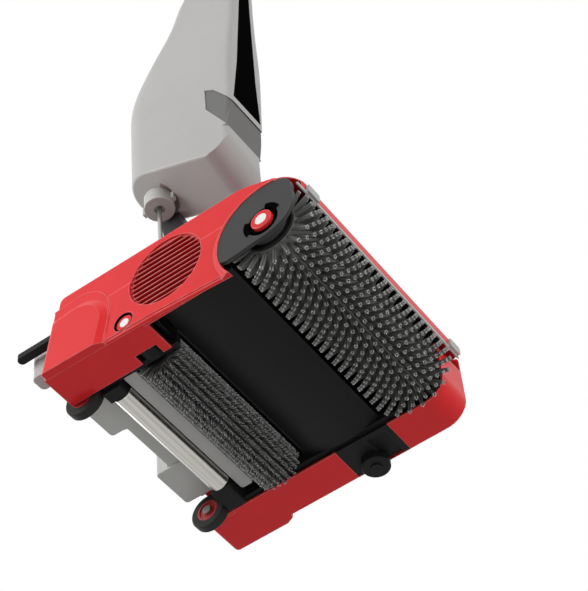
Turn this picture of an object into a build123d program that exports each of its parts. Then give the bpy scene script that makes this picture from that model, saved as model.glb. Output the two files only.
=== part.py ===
import math
import os

from build123d import *

# Upright cylindrical floor scrubber. Millimetres; x to the machine's left, y to its rear, z up from the floor.

# Brushes
front_radius = 55.0            # tips of the front brush, which stands on the floor
front_axis_y = -94.0
front_brush_left_gap = 6.0     # from the bristles to the left side plate
front_brush_right_gap = 13.0   # to the right panel's face; the front brush reaches further than the rear one
front_core_radius = 30.0
front_tufts_along = 14
front_tufts_around = 18
rear_radius = 31.0
rear_axis_y = 100.0
rear_brush_end_gap = 5.0
rear_core_radius = 15.0
rear_tufts_along = 13
rear_tufts_around = 12
sleeve_wall = 1.5              # slice of the backing that holds the bristles
core_wall = 4.0
front_strand = 3.6
rear_strand = 2.6
brush_shaft_radius = 5.0
tunnel_clearance = 4.0         # from the bristle tips to the tunnel walls
running_clearance = 0.05       # radial, shaft in hole
free_gap = 0.4                 # between pieces that move past each other

# Head casing
side_box_width = 54.0          # from a side plate to the panel's outer face below the crease
panel_wall = 5.0
crease_step = 1.8
crease_z = 94.0
crease_run = 5.0               # height of the sloping crease
boss_steps = (                 # front end, top, top at the rear edge, height, run of the sloping edge
    (118.5, 120.0, 114.0, 1.6, 1.0),
    (120.5, 104.0, 97.0, 4.4, 9.5),
)
rear_corner_round = 9.0        # the side covers' outer rear corners, seen from above
panel_edge_round = 2.6
head_top = 140.0
head_bottom = 17.0
rear_top_y = 193.0
rear_bottom_y = 216.0
cover_wall = 3.0
hood_slope = 20.0
hood_nose_z = 114.3
hood_corner = 25.0             # the hood's front corners, seen from above
lip_low_z = 95.0
lip_height = 4.0
lip_thickness = 2.4
lip_set = 3.8                  # from the brush's clearance to the hood's front
lip_clearance = 2.0
lip_clip_length = 22.0
lip_clip_thickness = 3.6
lip_clip_top = 109.0
hood_round = 60.0
liner_end = 128.0              # the tunnel's wall runs on under the hood to this angle
left_front_y = -128.0
left_front_round = 31.0
plate_thickness = 6.0          # chassis side plates
plate_rear_y = 176.0
deck_thickness = 8.0
vent_radius = 50.5
vent_y = 40.6
vent_z = 79.0
vent_slats = 12
slat_depth = 8.0
slat_thickness = 1.4
slat_tilt = 6.0
vent_frame_set = 3.0           # the frame ring lies this far behind the slats' edges
duct_wall = 3.0
guard_wall = 3.0
guard_low_z = 21.0
side_box_front_y = 74.0        # where the right cover's floor starts
side_flange = 4.0
housing_radius = 13.5          # rear brush bearing housing, which shows in a notch of the right cover's floor
housing_length = 13.4

# End plate and release buttons on the right side
end_plate_radius = 67.5
end_plate_thickness = 5.0
end_hub_depth = 12.0
end_plate_proud = 2.0
seat_rim_width = 2.0           # raised rim round the end plate's seat, with a slope outside it
seat_rim_slope = 7.5
seat_rim_proud = 3.0
end_web = 4.0
front_lock_radius = 20.5
front_button_radius = 13.4
front_button_proud = 3.6
rear_lock_radius = 13.4
rear_button_radius = 11.2
button_travel = 2.0
front_insert_radius = 7.4
rear_insert_radius = 6.0
insert_height = 1.6
bearing_radius = 11.0

# Drive on the left side
motor_y = 33.0
motor_z = 80.0
motor_radius = 37.0
motor_length = 124.0
motor_shaft_radius = 4.0
front_pulley_radius = 22.0
small_pulley_radius = 10.0
idler_y = 152.0
idler_z = 42.0
belt_offset = 22.0             # from the left side plate
belt_width = 12.0
belt_thickness = 2.4
belt_gap = 0.35
pulley_flange = 1.5

# Rear end
roller_radius = 13.7
roller_y = 163.5
roller_z = 25.0
roller_right_bracket = 17.0    # the brackets fill what the roller leaves between the side plates
roller_left_bracket = 37.0
roller_shaft_radius = 4.0
ramp_right_gap = 1.0
ramp_left_gap = 12.0
ramp_tab_z = 40.0              # underside of the tab that holds the ramp's left end
ramp_front_y = 132.0
ramp_z = 24.0
ramp_thickness = 4.0
wheel_radius = 24.5
wheel_y = 203.5
wheel_width = 13.0
hub_radius = 14.5
wheel_bolt_radius = 4.0
wheel_gap = 1.0
tank_half = 103.0              # the tank's width sets the width of the whole head
tank_wheel_gap = 9.0
tank_front_y = 180.0
tank_bottom = 42.0
tank_top = 126.0
tank_wall = 3.0
tank_foot_rear_y = 226.5
tank_notch_half = 41.0         # finger notch between the two feet
tank_notch_y = 206.0
tank_bridge_lift = 3.0         # the floor between the feet stands this much higher
tank_bridge_y = 186.0
spout_gap = 6.0                # from the foot lever
spout_width = 22.0
spout_front_y = 209.0
spout_rear_y = 258.0
spout_low_z = 70.0
spout_arm_z = 84.0
spout_top = 112.0
tank_runner_z = 58.0           # underside of the ledges that slide on the covers' rails
tank_runner_height = 4.0
tank_runner_reach = 14.0
rail_height = 4.5
rail_gap = 0.3
rail_length = 30.0

# Foot lever
lever_y = 184.0
lever_z = 100.0
lever_inset = 18.5             # from the right panel's face
lever_width = 11.0
lever_thickness = 8.0
lever_tip_y = 268.0
lever_hub_radius = 8.0
lever_pin_radius = 3.0

# Side guide roller under the left cover
guide_inset = 13.6             # from the left panel's face
guide_y = -3.0
guide_radius = 17.5
guide_low_z = 6.5
guide_height = 11.5
guide_pin_radius = 4.0
guide_bay = (-46.0, 27.0)      # y of the bay cut in the left cover's floor
guide_bay_margin = 3.0
guide_bracket_top = 30.0

# Tilting neck
hinge_y = 135.0
hinge_z = 170.0
hinge_pin_radius = 6.0
barrel_radius = 17.0
barrel_half = 40.0
ear_thickness = 10.0
bracket_thickness = 5.0
arm_inner_x = 24.0
hinge_screw_radius = 4.5
hinge_screw_height = 3.0

# Column
column_low_z = 438.5
column_front_y = 32.0
column_lean = 2.5              # the front face leans forward
column_bottom_slope = 22.5     # rises to the rear
column_bottom_tilt = 19.0      # and to the right
column_wall = 4.0
column_corner = 9.0
column_rim_round = 5.0
column_toe_round = 30.0
column_top_z = 985.0
column_side = 39.5             # half width of the straight lower part
column_rear_y = 212.0
column_foot_z = 400.0
column_sections = (            # height, half width, rear end
    (640.0, column_side, column_rear_y),
    (665.0, 39.3, 211.9),
    (690.0, 38.3, 209.2),
    (715.0, 36.4, 202.6),
    (740.0, 33.8, 192.6),
    (765.0, 31.2, 180.8),
    (790.0, 29.2, 167.3),
    (817.0, 27.4, 151.3),
    (850.0, 26.0, 136.0),
    (885.0, 24.2, 123.5),
    (935.0, 21.8, 108.5),
    (985.0, 19.5, 95.0),
)
lower_front_setback = 3.5
band_low_z = 509.0
band_inset = 1.6
cover_inset_depth = 2.2
cover_sink = 0.5
front_cover_outline = ((31.0, 572.0), (22.0, 660.0), (13.0, 825.0), (9.5, 950.0))  # half width at height
shelf_z = 580.0
shelf_thickness = 4.0
bay_wall_y = 112.0
tank_roof_z = 760.0
outlet_y = 177.0
outlet_radius = 15.5
cap_radius = 20.6
cap_low_z = 477.0
cap_height = 22.0
cap_pocket_gap = 1.6           # pocket in the column's bottom that the cap turns in
outlet_boss_radius = 29.4
outlet_boss_top = 524.0
cap_floor = 4.0
cap_hole_radius = 7.5
lug_reach = 25.5
lug_width = 7.0
pipe_radius = 3.25
pipe_bend_z = 395.0
pipe_bend_radius = 60.0
filler_y = 150.0
filler_z = 620.0
filler_radius = 17.0
filler_bore_radius = 13.0
filler_cap_radius = 20.5
filler_cap_height = 12.0
filler_neck = 7.0
socket_y = 70.0
socket_z = 620.0
socket_radius = 4.0
socket_depth = 12.0
socket_boss_radius = 8.0
battery_size = (44.0, 34.0, 112.0)

# Handle
tube_radius = 13.0
tube_bore_radius = 11.0
tube_foot = (46.0, 955.0)      # y and z of the tube's lower end
tube_lean = 20.0
tube_length = 140.0
grip_tilt = 10.0
grip_half = 15.0
grip_outer = (-25.0, 122.0, -10.0, 80.0)
grip_inner = (6.0, 96.0, 16.0, 54.0)
grip_outer_round = 26.0
grip_inner_round = 16.0
grip_edge_round = 9.0
grip_socket = 24.0
trigger_half = 5.0
trigger_slot = (22.0, 68.0, 50.0, 69.0)
trigger_pin = (28.0, 59.0)
trigger_pin_radius = 1.6
power_radius = 7.0
power_at = -4.0
power_proud = 1.8
power_depth = 6.0
panel_plate = (14.0, 56.0)
panel_plate_half = 9.0
panel_plate_depth = 1.5

front_axis_z = front_radius
rear_axis_z = rear_radius
front_tunnel = front_radius + tunnel_clearance
rear_tunnel = rear_radius + tunnel_clearance
hood_lip_y = front_axis_y - math.sqrt((front_radius + lip_clearance) ** 2 - (lip_low_z - front_axis_z) ** 2)
hood_front_y = hood_lip_y - lip_set
hood_end_z = lip_low_z + lip_height
origin_y = (front_axis_y - front_radius + lever_tip_y) / 2
lean = math.tan(math.radians(column_lean))
bottom_slope = math.tan(math.radians(column_bottom_slope))
plate_outer_x = tank_half + tank_wheel_gap + wheel_width + wheel_gap
plate_inner_x = plate_outer_x - plate_thickness
panel_x = plate_outer_x + side_box_width
front_bristles_left = plate_inner_x - front_brush_left_gap
front_bristles_right = -(panel_x - front_brush_right_gap)
rear_bristles_reach = plate_inner_x - rear_brush_end_gap
belt_x = plate_outer_x + belt_offset
roller_right = -(plate_inner_x - roller_right_bracket)
roller_left = plate_inner_x - roller_left_bracket
lever_x = -(panel_x - lever_inset)
spout_x = lever_x + lever_width / 2 + spout_gap
guide_x = panel_x - guide_inset
guide_bay_outer_x = panel_x - guide_bay_margin
seat_centre = (front_axis_y - 6.0, front_axis_z - 10.0)

nodes = {}


def block(x0, x1, y0, y1, z0, z1):
    return Pos(x0, y0, z0) * Box(x1 - x0, y1 - y0, z1 - z0, align=(Align.MIN, Align.MIN, Align.MIN))


def rod(y, z, radius, x0, x1):
    along_x = Pos(x0, y, z) * Rot(0, 90, 0)
    return along_x * Cylinder(radius, x1 - x0, align=(Align.CENTER, Align.CENTER, Align.MIN))


def post(x, y, radius, z0, z1):
    return Pos(x, y, z0) * Cylinder(radius, z1 - z0, align=(Align.CENTER, Align.CENTER, Align.MIN))


def slab(outline, x0, x1):
    return extrude(Plane.YZ.offset(x0) * outline, amount=x1 - x0)


def polygon(*points, radius=0.0):
    if radius:
        return make_face(FilletPolyline(*points, radius=radius, close=True))
    return make_face(Polyline(*points, close=True))


def ring(y, z, inner, outer, x0, x1):
    return rod(y, z, outer, x0, x1) - rod(y, z, inner, x0, x1)


def arc_wall(y, z, inner, outer, start, end, x0, x1):
    # part of a tube along x, from one angle to another counted from the rear
    def at(radius, angle):
        turn = math.radians(angle)
        return (y + radius * math.cos(turn), z + radius * math.sin(turn))

    middle = (start + end) / 2
    edges = [
        ThreePointArc(at(outer, start), at(outer, middle), at(outer, end)),
        Line(at(outer, end), at(inner, end)),
        ThreePointArc(at(inner, end), at(inner, middle), at(inner, start)),
        Line(at(inner, start), at(outer, start)),
    ]
    return slab(make_face(edges), x0, x1)


# Casing

def hood_y(z):
    return hood_front_y + (z - hood_nose_z) / math.tan(math.radians(hood_slope))


def side_outline(front_y, low_front_z, front_round):
    front_top = hood_nose_z + (front_y - hood_front_y) * math.tan(math.radians(hood_slope))
    points = (
        (rear_bottom_y, head_bottom),
        (rear_top_y, head_top),
        (hood_y(head_top), head_top),
        (front_y, front_top),
        (front_y, low_front_z),
    )
    return points, (4.0, 9.0, hood_round, 6.0, front_round)


def boss_outline(front_y, top_z, top_rear_z):
    # stepped swelling at the rear of each side panel, cut to the panel's edges afterwards
    beyond = rear_bottom_y + 20
    shoulder = front_y + 45
    edges = [
        Line((beyond, 0), (beyond, top_rear_z)),
        Line((beyond, top_rear_z), (shoulder, top_z)),
        ThreePointArc((shoulder, top_z), (front_y + 12, top_z - 15), (front_y, top_z - 52)),
        Line((front_y, top_z - 52), (front_y + 11, 0)),
        Line((front_y + 11, 0), (beyond, 0)),
    ]
    return make_face(edges)


def rear_corner(outer_x):
    # what is cut off a panel's outer rear corner, along the slope of the rear wall
    lean = (rear_top_y - rear_bottom_y) / (head_top - head_bottom)
    low_z = head_bottom - 5
    high_z = boss_steps[0][2] - 0.5
    beyond = 0.2
    rear = rear_bottom_y + lean * (low_z - head_bottom) + beyond
    outer = outer_x + beyond
    round_off = rear_corner_round * (1 - math.sqrt(0.5))
    edges = [
        ThreePointArc((outer, rear - rear_corner_round), (outer - round_off, rear - round_off),
                      (outer - rear_corner_round, rear)),
        Polyline((outer - rear_corner_round, rear), (outer - rear_corner_round, rear + 9), (outer + 9, rear + 9),
                 (outer + 9, rear - rear_corner_round), (outer, rear - rear_corner_round)),
    ]
    corner = Plane.XY.offset(low_z) * make_face(edges)
    return extrude(corner, amount=(high_z - low_z) * math.hypot(1, lean), dir=(0, lean, 1))


def stepped_panel(outline_face, side):
    # side is -1 on the right and +1 on the left
    inner = panel_x - panel_wall
    skin = panel_x - crease_step
    panel = slab(outline_face, inner, skin)
    panel = fillet(panel.faces().sort_by(Axis.X)[-1].edges(), panel_edge_round)
    inset = offset(outline_face, -panel_edge_round)
    lower_field = polygon((skin, 0), (panel_x, 0), (panel_x, crease_z - crease_run), (skin, crease_z))
    raised = extrude(Plane.YZ.offset(skin) * inset, amount=crease_step, taper=30)
    panel += raised & extrude(Plane.XZ * lower_field, amount=300, both=True)
    base = panel_x
    for front_y, top_z, top_rear_z, height, run in boss_steps:
        outline = boss_outline(front_y, top_z, top_rear_z)
        slope = math.degrees(math.atan(run / height))
        raised = slab(outline, inner, base)
        raised += extrude(Plane.YZ.offset(base) * outline, amount=height, taper=slope)
        base += height
        panel += raised & slab(outline_face, inner, base)
    panel -= rear_corner(base)
    if side > 0:
        return panel
    return mirror(panel, about=Plane.YZ)


def rear_wall(x0, x1):
    wall = polygon(
        (rear_bottom_y, head_bottom),
        (rear_top_y, head_top - cover_wall),
        (rear_top_y - cover_wall, head_top - cover_wall),
        (rear_bottom_y - cover_wall, head_bottom),
    )
    return slab(wall, x0, x1)


def wheel_wall(x0, x1):
    wall = polygon(
        (rear_bottom_y - 1, head_bottom),
        (rear_top_y - 1, head_top - cover_wall),
        (plate_rear_y, head_top - cover_wall),
        (plate_rear_y, head_bottom),
    )
    return slab(wall, x0, x1)


def tank_rail(side):
    top = tank_runner_z - rail_gap
    rail = block(tank_half + tank_runner_reach / 2, plate_outer_x, plate_rear_y + 2, plate_rear_y + rail_length,
                 top - rail_height, top)
    return rail if side > 0 else mirror(rail, about=Plane.YZ)


def seat_rim():
    skin = -(panel_x - crease_step)
    top = -panel_x - seat_rim_proud
    foot = -(panel_x - panel_wall)
    inside = end_plate_radius + free_gap
    flat = inside + seat_rim_width
    outside = flat + seat_rim_slope
    profile = polygon((top, inside), (top, flat), (skin, outside), (foot, outside), (foot, inside))
    place = Plane(origin=(0, *seat_centre), x_dir=(1, 0, 0), z_dir=(0, 0, 1))
    return revolve(place * profile, axis=Axis((0, *seat_centre), (1, 0, 0)))


def right_side_cover():
    points, radii = side_outline(hood_front_y + hood_corner, 0, 0)
    low = list(points[:4]) + [(points[3][0], hood_end_z), (-70, hood_end_z), (-70, 2), (60, head_bottom - 4)]
    face = polygon(*low, radius=list(radii[:4]) + [0, 0, 0, 0])
    cover = stepped_panel(face - Pos(*seat_centre) * Circle(end_plate_radius), -1)
    inner = -(panel_x - panel_wall)
    inside = -plate_outer_x
    floor_top = head_bottom + cover_wall
    cover += seat_rim() & slab(face, -panel_x - seat_rim_proud, inner)
    floor = block(inner, inside, side_box_front_y, rear_bottom_y - cover_wall, head_bottom, floor_top)
    floor -= block(inside - housing_length - 1.2, inside, rear_axis_y - housing_radius - 1.2,
                   rear_axis_y + housing_radius + 1.2, head_bottom, floor_top)
    cover += floor
    cover += rear_wall(inner, inside)
    cover += wheel_wall(inside - panel_wall, inside)
    cover += tank_rail(-1)
    cover += block(inner, inner + side_flange, -38, side_box_front_y + cover_wall, head_bottom - 4, head_bottom + 1)
    slot = block(lever_x - lever_width / 2 - 1.5, lever_x + lever_width / 2 + 1.5, rear_top_y - 8, rear_bottom_y,
                 lever_z - 16, lever_z + 8)
    cover -= slot
    cover -= rod(rear_axis_y, rear_axis_z, rear_lock_radius, -panel_x - 9, inner + 9 + 2)
    cover -= rod(vent_y, vent_z, vent_radius, -panel_x - 9, inner + 9)
    cover -= rod(wheel_y, wheel_radius, wheel_bolt_radius, inside - panel_wall, inside)
    return cover


def left_side_cover():
    points, radii = side_outline(left_front_y, head_bottom + 2, left_front_round)
    face = polygon(*points, radius=radii)
    cover = stepped_panel(face, 1)
    inner = panel_x - panel_wall
    shell = slab(face, plate_outer_x, inner)
    shell -= slab(offset(face, -cover_wall), plate_outer_x, inner)
    shell -= block(plate_outer_x, inner, -200, 250, head_top - cover_wall, head_top)
    open_top = polygon((rear_top_y - 2, head_top - cover_wall), (hood_y(head_top) - 90, head_top - cover_wall),
                       (hood_y(head_top) - 90, 95), (left_front_y + cover_wall, 95), (rear_top_y - 20, 95))
    shell -= slab(open_top, plate_outer_x, inner)
    cover += shell
    cover += wheel_wall(plate_outer_x, plate_outer_x + panel_wall)
    cover += tank_rail(1)
    cover -= block(plate_outer_x, guide_bay_outer_x, guide_bay[0], guide_bay[1], 0, head_bottom + 12)
    cover -= rod(wheel_y, wheel_radius, wheel_bolt_radius, plate_outer_x, plate_outer_x + panel_wall)
    return cover


def top_cover():
    inner = panel_x - panel_wall
    run = cover_wall / math.tan(math.radians(90 - hood_slope / 2))
    outline = polygon(
        (rear_top_y - 4, head_top),
        (hood_y(head_top), head_top),
        (hood_front_y, hood_nose_z),
        (hood_front_y, hood_end_z),
        (hood_front_y + cover_wall, hood_end_z),
        (hood_front_y + cover_wall, hood_nose_z - run),
        (hood_y(head_top) + run, head_top - cover_wall),
        (rear_top_y - 4, head_top - cover_wall),
        radius=[0, hood_round, 5.0, 0, 0, 2.0, hood_round - cover_wall, 0],
    )
    plan = polygon((-inner, hood_front_y), (inner, hood_front_y), (inner, rear_top_y), (-inner, rear_top_y),
                   radius=[hood_corner, hood_corner, 0, 0])
    return slab(outline, -inner, inner) & extrude(Plane.XY * plan, amount=head_top + 1)


def front_lip():
    reach = panel_x - panel_wall - 2
    left_end = reach - 18
    strip = block(-reach, left_end, hood_front_y, hood_front_y + lip_thickness, lip_low_z, hood_end_z)
    strip = fillet(strip.edges().filter_by(Axis.X).group_by(Axis.Z)[0], 1.0)
    for x0 in (-reach + 16, left_end - lip_clip_length):
        clip = block(x0, x0 + lip_clip_length, hood_front_y - lip_clip_thickness, hood_front_y, lip_low_z + 1,
                     lip_clip_top)
        strip += fillet(clip.edges().filter_by(Axis.Y), 3.0)
    return strip


def vent_grille():
    outer = -(panel_x - 1.0)
    inner = outer + slat_depth + 2
    frame = ring(vent_y, vent_z, vent_radius - 2.5, vent_radius, outer + vent_frame_set, inner)
    pitch = 2 * vent_radius / (vent_slats + 1)
    bore = rod(vent_y, vent_z, vent_radius - 1.5, outer, inner)
    slats = []
    for row in range(vent_slats):
        z = vent_z + pitch * (row - (vent_slats - 1) / 2)
        plate = Box(slat_depth, 2 * vent_radius, slat_thickness)
        slats.append(Pos((outer + inner) / 2, vent_y, z) * Rot(0, slat_tilt, 0) * plate & bore)
    return frame + slats


def motor_guard():
    front = (front_axis_y + front_tunnel * math.cos(math.radians(-22)),
             front_axis_z + front_tunnel * math.sin(math.radians(-22)))
    rear = (rear_axis_y - rear_tunnel * math.cos(math.radians(14)),
            rear_axis_z + rear_tunnel * math.sin(math.radians(14)))
    middle = ((front[0] + rear[0]) / 2, guard_low_z)
    edges = [
        ThreePointArc(front, middle, rear),
        Line(rear, (rear[0], rear[1] + guard_wall)),
        ThreePointArc((rear[0], rear[1] + guard_wall), (middle[0], middle[1] + guard_wall),
                      (front[0], front[1] + guard_wall)),
        Line((front[0], front[1] + guard_wall), front),
    ]
    guard = slab(make_face(edges), -(panel_x - panel_wall - 9), plate_inner_x)
    wall = cover_wall
    guard -= rod(front_axis_y, front_axis_z, front_tunnel + wall, -panel_x, panel_x)
    guard -= rod(rear_axis_y, rear_axis_z, rear_tunnel + wall, -panel_x, panel_x)
    return guard


def chassis():
    wall = cover_wall
    deck_low = head_top - wall - deck_thickness
    right_end = -(panel_x - panel_wall - 9)
    deck_front = hood_y(head_top) + 13
    frame = block(-plate_outer_x, plate_outer_x, deck_front, plate_rear_y, deck_low, head_top - wall)
    frame += arc_wall(front_axis_y, front_axis_z, front_tunnel, front_tunnel + wall, -22, 70, right_end, plate_outer_x)
    frame += arc_wall(front_axis_y, front_axis_z, front_tunnel, front_tunnel + wall, 69, liner_end,
                      -(panel_x - hood_corner - 8), plate_outer_x)
    web_low = front_axis_z + math.sqrt((front_tunnel + wall / 2) ** 2 - (deck_front + wall / 2 - front_axis_y) ** 2)
    frame += block(right_end, plate_outer_x, deck_front, deck_front + wall, web_low, head_top - wall)
    frame += arc_wall(rear_axis_y, rear_axis_z, rear_tunnel, rear_tunnel + wall, 14, 166, -plate_outer_x, plate_outer_x)
    left = polygon((left_front_y + 6, 30), (-45, 24), (60, 24), (plate_rear_y, head_bottom + 4),
                   (plate_rear_y, deck_low), (deck_front, deck_low), (-90, 118), (left_front_y + 6, 100))
    frame += slab(left, plate_inner_x, plate_outer_x)
    right = polygon((-30, 42), (66, 42), (66, head_bottom + 4), (plate_rear_y, head_bottom + 4),
                    (plate_rear_y, deck_low), (-30, deck_low))
    frame += slab(right, -plate_outer_x, -plate_inner_x)
    for x0 in (-plate_outer_x, plate_inner_x):
        frame -= rod(rear_axis_y, rear_axis_z, bearing_radius, x0, x0 + plate_outer_x - plate_inner_x)
    frame -= rod(front_axis_y, front_axis_z, bearing_radius, plate_inner_x, plate_outer_x)
    frame -= rod(motor_y, motor_z, motor_shaft_radius + 4, plate_inner_x, plate_outer_x)
    frame -= rod(vent_y, vent_z, vent_radius - 8, -plate_outer_x, -plate_inner_x)
    duct = ring(vent_y, vent_z, vent_radius, vent_radius + duct_wall, -(panel_x - panel_wall), -plate_outer_x)
    duct &= block(-panel_x, 0, -200, 200, guard_low_z + 21, head_top - wall)
    stud = rod(idler_y, idler_z, motor_shaft_radius, plate_outer_x, belt_x + belt_width + 2)
    stud += rod(idler_y, idler_z, 7.0, plate_outer_x, belt_x - pulley_flange - free_gap)
    housing = ring(rear_axis_y, rear_axis_z, brush_shaft_radius + free_gap, housing_radius,
                   -plate_outer_x - housing_length, -plate_outer_x)
    return frame + duct + stud + housing


def end_plate():
    y = front_axis_y
    z = front_axis_z
    centre = seat_centre
    radius = end_plate_radius

    def on_seat(angle):
        turn = math.radians(angle)
        return (centre[0] + radius * math.cos(turn), centre[1] + radius * math.sin(turn))

    tip = on_seat(-14)
    crown = on_seat(100)
    edges = [
        ThreePointArc(tip, on_seat(45), crown),
        ThreePointArc(crown, (y - 33, z + 50), (y - 40, z + 26)),
        ThreePointArc((y - 40, z + 26), (y - 36.5, z - 2), (y - 18, z - 19.5)),
        ThreePointArc((y - 18, z - 19.5), (y - 5, z - 23.5), (y + 12, z - 25)),
        Line((y + 12, z - 25), (tip[0] - 8, tip[1] - 3)),
        Line((tip[0] - 8, tip[1] - 3), tip),
    ]
    outer = -panel_x - end_plate_proud
    plate = slab(make_face(edges), outer, outer + end_plate_thickness)
    plate &= rod(*centre, radius, outer, outer + end_plate_thickness)
    plate += rod(y, z, front_lock_radius + 3.0, outer, outer + end_hub_depth)
    plate -= rod(y, z, front_lock_radius, outer, outer + end_hub_depth - end_web)
    plate -= rod(y, z, bearing_radius, outer, outer + end_hub_depth)
    return plate


def lock_ring(y, z, outer_radius, button_radius, x0, x1):
    shape = ring(y, z, button_radius + free_gap, outer_radius, x0, x1)
    notch = Pos(0, y, z) * Rot(35, 0, 0) * block(x0, x0 + 1.5, -5, 5, button_radius, outer_radius + 1)
    return shape - notch


def release_button(y, z, radius, insert_radius, x0, x1):
    button = rod(y, z, radius, x0, x1)
    button = fillet(button.faces().sort_by(Axis.X)[0].edges(), 0.8)
    button -= rod(y, z, insert_radius, x0, x0 + insert_height)
    insert = rod(y, z, insert_radius, x0 - 0.3, x0 + insert_height)
    return button, insert


# Brushes and drive

def brush_bristles(y, z, tip_radius, core_radius, x0, x1, along, around, strand):
    sleeve = ring(y, z, core_radius, core_radius + sleeve_wall, x0, x1)
    root = core_radius + sleeve_wall / 2
    length = tip_radius - root
    pitch = (x1 - x0) / along
    strands = []
    for row in range(around):
        turn = 360.0 * row / around
        shift = 0.25 + 0.5 * (row % 2)
        for column in range(along):
            x = x0 + pitch * (column + shift)
            tuft = Box(strand, strand, length, align=(Align.CENTER, Align.CENTER, Align.MAX))
            strands.append(Pos(0, y, z) * Rot(turn, 0, 0) * Pos(x, 0, -root) * tuft)
    return sleeve + strands


def brush_core(y, z, core_radius, x0, x1):
    tube = ring(y, z, core_radius - core_wall, core_radius, x0, x1)
    hub = 8.0
    for end in (x0, x1 - hub):
        tube += ring(y, z, brush_shaft_radius, core_radius, end, end + hub)
    return tube


def pulley(y, z, radius, bore, x0=None):
    x0 = belt_x if x0 is None else x0
    wheel = rod(y, z, radius, x0, x0 + belt_width)
    for end in (x0 - pulley_flange, x0 + belt_width):
        wheel += rod(y, z, radius - 1.0, end, end + pulley_flange)
    return wheel - rod(y, z, bore, x0 - pulley_flange, x0 + belt_width + pulley_flange)


def belt_loop(pulleys, shift):
    # closed line round the pulleys; a negative radius is a pulley that the belt's back runs on
    count = len(pulleys)
    leaves = []
    meets = [None] * count
    for index in range(count):
        y0, z0, r0 = pulleys[index]
        y1, z1, r1 = pulleys[(index + 1) % count]
        r0 += shift
        r1 += shift
        span = math.hypot(y1 - y0, z1 - z0)
        uy, uz = (y1 - y0) / span, (z1 - z0) / span
        sine = (r0 - r1) / span
        cosine = math.sqrt(1 - sine ** 2)
        ty, tz = cosine * uy - sine * uz, cosine * uz + sine * uy
        leaves.append((y0 + r0 * tz, z0 - r0 * ty))
        meets[(index + 1) % count] = (y1 + r1 * tz, z1 - r1 * ty)
    edges = []
    for index in range(count):
        y, z, radius = pulleys[index]
        radius += shift
        start = math.atan2(meets[index][1] - z, meets[index][0] - y)
        end = math.atan2(leaves[index][1] - z, leaves[index][0] - y)
        sweep_angle = (end - start) % (2 * math.pi)
        if radius < 0:
            sweep_angle -= 2 * math.pi
        middle = start + sweep_angle / 2
        size = abs(radius)
        edges.append(ThreePointArc(meets[index], (y + size * math.cos(middle), z + size * math.sin(middle)),
                                   leaves[index]))
        edges.append(Line(leaves[index], meets[(index + 1) % count]))
    return make_face(edges)


def drive_belt():
    lift = belt_gap + belt_thickness / 2
    pulleys = [
        (front_axis_y, front_axis_z, front_pulley_radius + lift),
        (rear_axis_y, rear_axis_z, -(small_pulley_radius + lift)),
        (idler_y, idler_z, small_pulley_radius + lift),
        (motor_y, motor_z, small_pulley_radius + lift),
    ]
    face = belt_loop(pulleys, belt_thickness / 2) - belt_loop(pulleys, -belt_thickness / 2)
    return slab(face, belt_x, belt_x + belt_width)


def make_brushes():
    front = (front_axis_y, front_axis_z)
    rear = (rear_axis_y, rear_axis_z)
    nodes["front_brush_bristles"] = brush_bristles(*front, front_radius, front_core_radius, front_bristles_right,
                                                   front_bristles_left, front_tufts_along, front_tufts_around,
                                                   front_strand)
    nodes["front_brush_core"] = brush_core(*front, front_core_radius, front_bristles_right - 2,
                                           front_bristles_left + 2)
    shaft_end = -panel_x - end_plate_proud + end_hub_depth - end_web + 0.5
    nodes["front_brush_shaft"] = rod(*front, brush_shaft_radius, shaft_end, belt_x + belt_width + 5)
    nodes["front_pulley"] = pulley(*front, front_pulley_radius, brush_shaft_radius)
    nodes["rear_brush_bristles"] = brush_bristles(*rear, rear_radius, rear_core_radius, -rear_bristles_reach,
                                                  rear_bristles_reach, rear_tufts_along, rear_tufts_around,
                                                  rear_strand)
    nodes["rear_brush_core"] = brush_core(*rear, rear_core_radius, -rear_bristles_reach - 2,
                                          rear_bristles_reach + 2)
    nodes["rear_brush_shaft"] = rod(*rear, brush_shaft_radius, -(panel_x - panel_wall - 12),
                                    belt_x + belt_width + 5)
    nodes["rear_pulley"] = pulley(*rear, small_pulley_radius, brush_shaft_radius)
    bore = brush_shaft_radius + running_clearance
    web = -panel_x - end_plate_proud + end_hub_depth - end_web
    nodes["brush_bearings"] = Compound([
        ring(*front, bore, bearing_radius, web, web + end_web),
        ring(*front, bore, bearing_radius, plate_inner_x, plate_outer_x),
        ring(*rear, bore, bearing_radius, -plate_outer_x, -plate_inner_x),
        ring(*rear, bore, bearing_radius, plate_inner_x, plate_outer_x),
    ])


def make_drive():
    nodes["motor_can"] = ring(motor_y, motor_z, motor_shaft_radius + free_gap, motor_radius,
                              plate_inner_x - motor_length, plate_inner_x)
    nodes["motor_shaft"] = rod(motor_y, motor_z, motor_shaft_radius, plate_inner_x - motor_length,
                               belt_x + belt_width + 5)
    nodes["motor_pulley"] = pulley(motor_y, motor_z, small_pulley_radius, motor_shaft_radius)
    nodes["idler_pulley"] = pulley(idler_y, idler_z, small_pulley_radius, motor_shaft_radius + running_clearance)
    nodes["drive_belt"] = drive_belt()


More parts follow.
